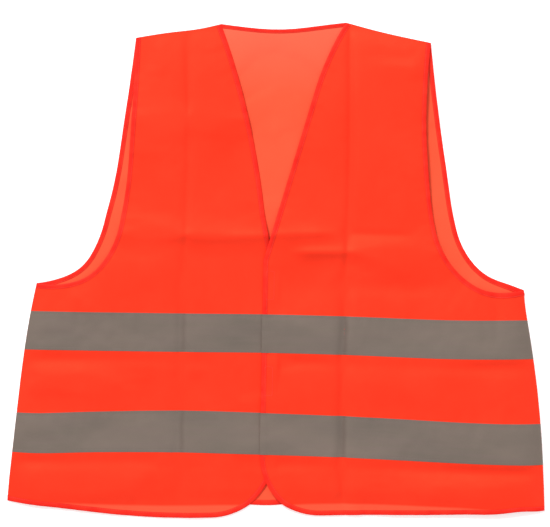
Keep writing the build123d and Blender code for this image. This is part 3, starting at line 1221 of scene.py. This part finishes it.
# ---- stitches ----
class Stitches(Gathered):
    """Rows of lockstitches: short rounded lengths of thread that dip into the cloth at each end."""

    ROUND = 6
    ALONG = np.array([-0.5, -0.40, -0.2, 0.2, 0.40, 0.5])
    GIRTH = np.array([0.45, 0.85, 1.0, 1.0, 0.85, 0.45])
    RISE = np.array([-0.18, 0.03, 0.12, 0.12, 0.03, -0.18]) * MM
    LENGTH = 2.5 * MM
    WIDE = 0.26 * MM
    HIGH = 0.13 * MM

    def row(self, path, layer, lift, skip=None):
        """Stitches along a path. Lift is above the cloth's middle, below it if under 0."""
        path = spaced(path, STITCH)
        centre = (path[:-1] + path[1:]) / 2
        along, left = path_frame(centre)
        lift = np.broadcast_to(lift(centre) if callable(lift) else lift, len(centre))
        if skip is not None:
            keep = ~skip(centre)
            centre, along, left, lift = centre[keep], along[keep], left[keep], lift[keep]
        turn = np.arange(self.ROUND) * 2 * math.pi / self.ROUND
        reach = self.ALONG * self.LENGTH
        side = self.WIDE * self.GIRTH[:, None] * np.cos(turn)
        rise = self.RISE[:, None] + self.HIGH * self.GIRTH[:, None] * np.sin(turn)
        place = (
            centre[:, None, None]
            + along[:, None, None] * reach[None, :, None, None]
            + left[:, None, None] * side[None, :, :, None]
        )
        up = np.sign(lift)[:, None, None] * rise[None] + lift[:, None, None]
        twist = np.stack(np.broadcast_arrays(reach[None, :, None], side[None] * 2), axis=-1)
        one, size = swept(len(self.ALONG), self.ROUND), len(self.ALONG) * self.ROUND
        faces = [[i + n * size for i in face] for n in range(len(centre)) for face in one]
        plan = np.broadcast_to(twist, place.shape).reshape(-1, 2)
        self.add(layer.place(place.reshape(-1, 2), up.ravel()), faces, plan)

    def sewn(self, name, thread):
        return self.build(name, thread, "thread", 80)


def row_path(loop, y):
    """A row across a cloth, from just inside one edge to just inside the other."""
    low, high = crossings(loop, y)
    return np.array([[low + ROW_INSET, y], [high - ROW_INSET, y]])


# ---- the vest, piece by piece ----
def on_body(obj, side):
    """A piece off the fronts stays with the back. A front's piece keeps its place, with its transform
    applied to its mesh.
    """
    if side is None:
        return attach(obj, "back")
    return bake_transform(obj)


pieces = {"back": [], "left": [], "right": []}


def add(group, obj, *nodes, side=None):
    """Hides the CAD nodes that a piece stands for, hands the piece to on_body, and notes whose cloth it
    is on.
    """
    if nodes:
        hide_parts(*nodes)
    on_body(obj, side)
    pieces[group].append(obj)
    return obj


def front_nodes(side, kind):
    """The CAD nodes of one kind that make up a whole front."""
    parts = ["front", "side"] + (["underlap"] if side == "right" else [])
    return [f"{side}_{part}_{kind}" for part in parts]


def make_clothes():
    """The back and both fronts, each one cut of knit."""
    made = {"back": cloth("back_cloth", back.loop, layers["back"], (KNIT_WITH_PAINTED_LIGHT, KNIT))}
    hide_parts("back_panel")
    on_body(made["back"], None)
    for side in SIDES:
        obj = cloth(f"{side}_front_cloth", fronts[side].loop, layers[side], (KNIT_FRONT, KNIT), side)
        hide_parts(*front_nodes(side, "panel"))
        made[side] = on_body(obj, side)
    return made


EDGE_X = {"left": TOP_EDGE_X, "right": UNDER_EDGE_X}


def make_tapes():
    """Two tapes on the outer face of each cloth."""
    for row in TAPE_ROWS:
        obj = tape(f"back_{row}_band", row, back.loop, layers["back"], -1)
        add("back", obj, f"back_{row}_tape")
        for side in SIDES:
            obj = tape(
                f"{side}_{row}_band", row, fronts[side].loop, layers[side], 1, side, EDGE_X[side]
            )
            add(side, obj, *front_nodes(side, f"{row}_tape"), side=side)


def make_bindings():
    """The strips round the neck, the hems, the fronts' edges and the armholes."""
    for name, edges in BACK_STRIPS.items():
        add("back", binding(f"back_{name}_strip", edges), f"back_{name}_binding")
    for side in SIDES:
        obj = binding(f"{side}_front_strip", FRONT_STRIPS[side], side)
        add(side, obj, *front_nodes(side, "binding"), side=side)
        obj = binding(f"{side}_armhole_strip", ARMHOLE_STRIPS[side])
        add("back", obj, f"{side}_armhole_binding")


ROW_LIFT = CLOTH / 2 + TRIM + 0.02 * MM
TAPE_LIFT = CLOTH / 2 + TAPE - 0.03 * MM


def tape_row_lift(side):
    """How high stitches lie on a front's tapes, which climb onto the binding at the closure."""

    def lift(points):
        near = step_between(np.abs(points[:, 0] - EDGE_X[side]), CLIMB_FROM, CLIMB_TO)
        return TAPE_LIFT + CLIMB * near

    return lift


def make_tape_stitches():
    """Grey rows along both edges of each tape."""
    rows = {group: Stitches() for group in pieces}
    for low, high in TAPE_ROWS.values():
        for y in (low + TAPE_ROW_INSET, high - TAPE_ROW_INSET):
            path = row_path(back.loop, y)
            rows["back"].row(path, layers["back"], -TAPE_LIFT)
            rows["back"].row(path, layers["back"], CLOTH / 2)
            for side in SIDES:
                path = row_path(fronts[side].loop, y)
                rows[side].row(path, layers[side], tape_row_lift(side))
                rows[side].row(path, layers[side], -CLOTH / 2)
    add("back", rows["back"].sewn("back_tape_stitches", GREY_SEWING), "back_stitching")
    for side in SIDES:
        obj = rows[side].sewn(f"{side}_tape_stitches", GREY_SEWING)
        add(side, obj, *front_nodes(side, "stitching"), side=side)


def make_binding_stitches():
    """Rows that close the folded strips. A front's row is hidden where a tape lies over it."""
    stay = sum([*BACK_STRIPS.values(), *ARMHOLE_STRIPS.values()], [])
    for group, edges in {"back": stay, **FRONT_STRIPS}.items():
        side = None if group == "back" else group
        rows, under_tape = Stitches(), (lambda p: in_tape_rows(p[:, 1], 1.0 * MM)) if side else None
        for path, inward, layer, share in edges:
            path = spaced(path, STITCH)
            line = path + inward * path_frame(path)[1] * BINDING_ROW * share
            rows.row(line, layer, ROW_LIFT, under_tape)
            rows.row(line, layer, -ROW_LIFT)
        add(group, rows.sewn(f"{group}_edge_stitches", SEWING), side=side)


def make_seams():
    """Overlocked allowances inside the side and shoulder seams."""
    for kind, paths in (("side", sides), ("shoulder", shoulders)):
        for side, path in zip(SIDES, paths):
            path = spaced(path, SEAM_STEP)[3:-3]
            inward = inward_of(path, back.loop)
            add("back", allowance(f"{side}_{kind}_allowance", path, inward), f"{side}_{kind}_seam")
            add("back", overlock(f"{side}_{kind}_overlock", path, inward))


SEAM_STEP = 2.0 * MM
SEAM_INNER = 5.0 * MM


def allowance(name, path, inward):
    """Two plies of cloth inside a seam, pressed towards the back."""
    low, ply = CLOTH / 2 + 0.02 * MM, 0.42 * MM
    profile = np.array(
        [
            (0.5 * MM, low),
            (0.5 * MM, low + 0.16 * MM),
            (2.0 * MM, low + 0.6 * MM),
            (SEAM_INNER - 0.4 * MM, low + 2 * ply),
            (SEAM_INNER, low + 1.6 * ply),
            (SEAM_INNER, low + 0.2 * MM),
            (SEAM_INNER - 0.4 * MM, low),
        ]
    )
    _, left = path_frame(path)
    run = np.arange(len(path)) * SEAM_STEP
    wobble = 0.25 * MM * np.sin(run / (4 * MM))[:, None]
    depth = profile[None, :, 0] + wobble * (profile[None, :, 0] > 3 * MM)
    place = (path[:, None] + inward * left[:, None] * depth[..., None]).reshape(-1, 2)
    lift = np.broadcast_to(profile[None, :, 1], depth.shape).ravel()
    folded = Gathered()
    folded.add(layers["back"].place(place, lift), swept(len(path), len(profile)), place)
    return folded.build(name, KNIT, "knit_cloth", 50)


def overlock(name, path, inward):
    """The thread that crosses back and forth over a seam's allowance."""
    line = spaced(path, 1.3 * MM)
    _, left = path_frame(line)
    inner = np.arange(len(line)) % 2 == 1
    depth = np.where(inner, SEAM_INNER + 0.1 * MM, 1.4 * MM)
    lift = CLOTH / 2 + np.where(inner, 0.75 * MM, 0.5 * MM)
    corners_at = np.c_[line + inward * left * depth[:, None], lift]
    steps = np.linspace(0, 1, 5)[:-1]
    route = np.concatenate([a + (b - a) * steps[:, None] for a, b in zip(corners_at, corners_at[1:])])
    arch = np.tile(0.22 * MM * np.sin(math.pi * steps), len(corners_at) - 1)
    centre = layers["back"].place(route[:, :2], route[:, 2] + arch)
    vertices = rings_round(centre, 0.16 * MM, 6, (0, 0, 1.0))
    thread = Gathered()
    thread.add(vertices, swept(len(centre), 6), np.repeat(route[:, :2], 6, axis=0))
    return thread.build(name, SEWING, "thread", 80)


PATCH_FROM, PATCH_TO = (corner.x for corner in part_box("loop_patches"))
PATCH_WIDE, PATCH_X = PATCH_TO - PATCH_FROM, (PATCH_FROM + PATCH_TO) / 2


def rounded_rectangle(centre, wide, long, corner):
    """A patch's outline, or a row of stitches on it."""
    turn = np.linspace(0, math.pi / 2, 5)
    loop = []
    for n, (sx, sy) in enumerate(((1, 1), (-1, 1), (-1, -1), (1, -1))):
        base = centre + np.array([sx * (wide / 2 - corner), sy * (long / 2 - corner)])
        angle = turn + n * math.pi / 2
        loop.append(base + corner * np.stack([np.cos(angle), np.sin(angle)], axis=1))
    return np.concatenate(loop)


def patch_base(centre, layer, facing, first, height):
    """A nylon patch with rounded corners. Facing is +1 above the cloth and -1 below it."""
    corner = 1.5 * MM
    loop = spaced(closed(rounded_rectangle(centre, PATCH_WIDE, PATCH_LONG, corner)), 1.2 * MM)[:-1]
    plan, triangles = filled(loop, hexagonal(loop.min(axis=0), loop.max(axis=0), 1.3 * MM), 0.7 * MM)
    top = first + height - 0.18 * MM * np.exp(-distance(plan, closed(loop)) / (0.5 * MM))
    sheet = [layer.place(plan, facing * top), layer.place(plan, np.full(len(plan), facing * first))]
    faces = walled(triangles, rim(triangles), len(plan))
    return np.concatenate(sheet), faces, np.concatenate([plan, plan])


STRAND_POINTS = 7


def hook_strand(draw):
    """A hook's heading, and how far out and how high its points are."""
    turn = np.linspace(0, 1.35 * math.pi, STRAND_POINTS)
    size = 0.34 * MM
    return draw.normal(0, 0.12), size * 0.75 * (1 - np.cos(turn)), size * np.sin(turn) + 0.1 * MM


def loop_strand(draw):
    """The same for a loop, which stands on both its ends."""
    turn = np.linspace(0, math.pi, STRAND_POINTS)
    heading, size = draw.random() * math.pi, draw.uniform(0.35, 0.6) * MM
    return heading, size * np.cos(turn), size * np.sin(turn)


# what stands on each kind of patch: pitch and scatter in millimetres, shape, radius, sides
PILES = {"hook": (1.25, 0.12, hook_strand, 0.09, 4), "loop": (1.0, 0.28, loop_strand, 0.06, 3)}


def patch_pile(gathered, centre, layer, facing, first, kind, draw):
    """The hooks or the loops that stand on a patch, as small bent filaments."""
    pitch, scatter, strand, radius, count = PILES[kind]
    half = np.array([PATCH_WIDE, PATCH_LONG]) / 2
    for point in hexagonal(centre - half + 1.6 * MM, centre + half - 1.2 * MM, pitch * MM):
        jitter = draw.normal(0, scatter, 2) * MM
        heading, reach, rise = strand(draw)
        at = point + jitter + np.outer(reach, (math.cos(heading), math.sin(heading)))
        line = layer.place(at, facing * (first + rise))
        vertices = rings_round(line, radius * MM, count, (0.31, 0.95, 0.05))
        gathered.add(vertices, swept(STRAND_POINTS, count), np.repeat(at, count, axis=0))


def make_patches():
    """Hook patches under the left front's edge and loop patches on the strip below it."""
    draw = np.random.default_rng(5)
    over_binding = CLOTH / 2 + TRIM + 0.1 * MM
    base = 0.5 * MM
    for kind, side, facing, material in (("loop", "right", 1, LOOPS), ("hook", "left", -1, HOOKS)):
        pads, sewing, layer = Gathered(), Stitches(), layers[side]
        for y in patch_ys:
            centre = np.array([PATCH_X, y])
            pads.add(*patch_base(centre, layer, facing, over_binding, base))
            patch_pile(pads, centre, layer, facing, over_binding + base - 0.05 * MM, kind, draw)
            wide, long = PATCH_WIDE - 2.4 * MM, PATCH_LONG - 2.4 * MM
            square = closed(rounded_rectangle(centre, wide, long, 0.6 * MM))
            sewing.row(square, layer, facing * (over_binding + base))
            sewing.row(square, layer, -facing * ROW_LIFT)
        obj = pads.build(f"{side}_{kind}_pads", material, f"{kind}_patch", 60)
        add(side, obj, f"{kind}_patches", side=side)
        add(side, sewing.sewn(f"{side}_{kind}_pad_stitches", SEWING), side=side)


def make_label():
    """A blank ribbon label, sewn in the left side seam and folded once."""
    low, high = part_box("care_label")
    u, v = np.meshgrid(np.linspace(0, 1, 16), np.linspace(0, 1, 22), indexing="ij")
    ribbon = Gathered()
    for ply, rise in enumerate((0.06 * MM, 0.34 * MM)):
        plan = pairs(high.x + 6 * MM - u * (high.x - low.x + 6 * MM), low.y + v * (high.y - low.y))
        curl = 0.9 * MM * (u**3) * (0.6 + 0.4 * np.sin(3 * v + ply)) + 0.2 * MM * u * np.sin(5 * v)
        lift = (CLOTH / 2 + 0.05 * MM + rise * (1 - 0.2 * u) + np.clip(curl, 0, None)).ravel()
        sheet = [layers["back"].place(plan, lift + 0.18 * MM), layers["back"].place(plan, lift)]
        ribbon.add(np.concatenate(sheet), grid_sheet(*u.shape), np.concatenate([plan, plan]))
    add("back", ribbon.build("side_label", LABEL, "label", 50), "care_label")


# ---- floor, light and camera ----
VIEW_WIDTH = 715 * MM  # what the picture takes in at the cloth
AIM = Vector((-6.0 * MM, 8.3 * MM, 6.0 * MM))
TURN = math.radians(1.0)  # the vest lies turned a little clockwise
LENS = 85.0
FLOOR_REACH = 40.0  # so far that no view shows where the floor ends


def make_studio():
    """A pale floor under soft daylight, seen from straight above."""
    scene = bpy.context.scene
    scene.view_settings.view_transform = "Standard"
    floor_mesh = bpy.data.meshes.new("studio_floor")
    ends = ((-1, -1), (1, -1), (1, 1), (-1, 1))
    ends = [(x * FLOOR_REACH, y * FLOOR_REACH, -0.1 * MM) for x, y in ends]
    floor_mesh.from_pydata(ends, [], [(0, 1, 2, 3)])
    floor = bpy.data.objects.new("studio_floor", floor_mesh)
    scene.collection.objects.link(floor)
    paper = bpy.data.materials.new("studio_paper")
    paper.use_nodes = True
    shader = paper.node_tree.nodes["Principled BSDF"]
    shader.inputs["Base Color"].default_value = (0.95, 0.95, 0.95, 1)
    shader.inputs["Roughness"].default_value = 0.9
    shader.inputs["Specular IOR Level"].default_value = 0.1
    # a lit table, so that only a faint shadow shows
    shader.inputs["Emission Color"].default_value = (1, 1, 1, 1)
    shader.inputs["Emission Strength"].default_value = 0.3
    floor_mesh.materials.append(paper)

    world = bpy.data.worlds.new("studio")
    world.use_nodes = True
    world.node_tree.nodes["Background"].inputs["Color"].default_value = (1, 1, 1, 1)
    world.node_tree.nodes["Background"].inputs["Strength"].default_value = 0.60
    scene.world = world

    def sun(name, toward, strength, spread):
        light = bpy.data.lights.new(name, "SUN")
        light.energy = strength
        light.angle = math.radians(spread)
        obj = bpy.data.objects.new(name, light)
        obj.rotation_euler = Vector(toward).to_track_quat("Z", "Y").to_euler()
        scene.collection.objects.link(obj)

    sun("window_light", (-0.55, 1.0, 0.8), 3.35, 18)
    sun("fill_light", (0.6, -0.4, 1.6), 0.35, 60)

    camera = bpy.data.cameras.new("camera")
    camera.sensor_fit = "HORIZONTAL"
    camera.lens = LENS
    obj = bpy.data.objects.new("camera", camera)
    away = VIEW_WIDTH * camera.lens / camera.sensor_width
    obj.location = AIM + Vector((0, 0, away))
    obj.rotation_euler = (0, 0, TURN)
    scene.collection.objects.link(obj)
    scene.camera = obj


made = make_clothes()
make_tapes()
make_bindings()
make_tape_stitches()
make_binding_stitches()
make_seams()
make_patches()
make_label()
make_studio()
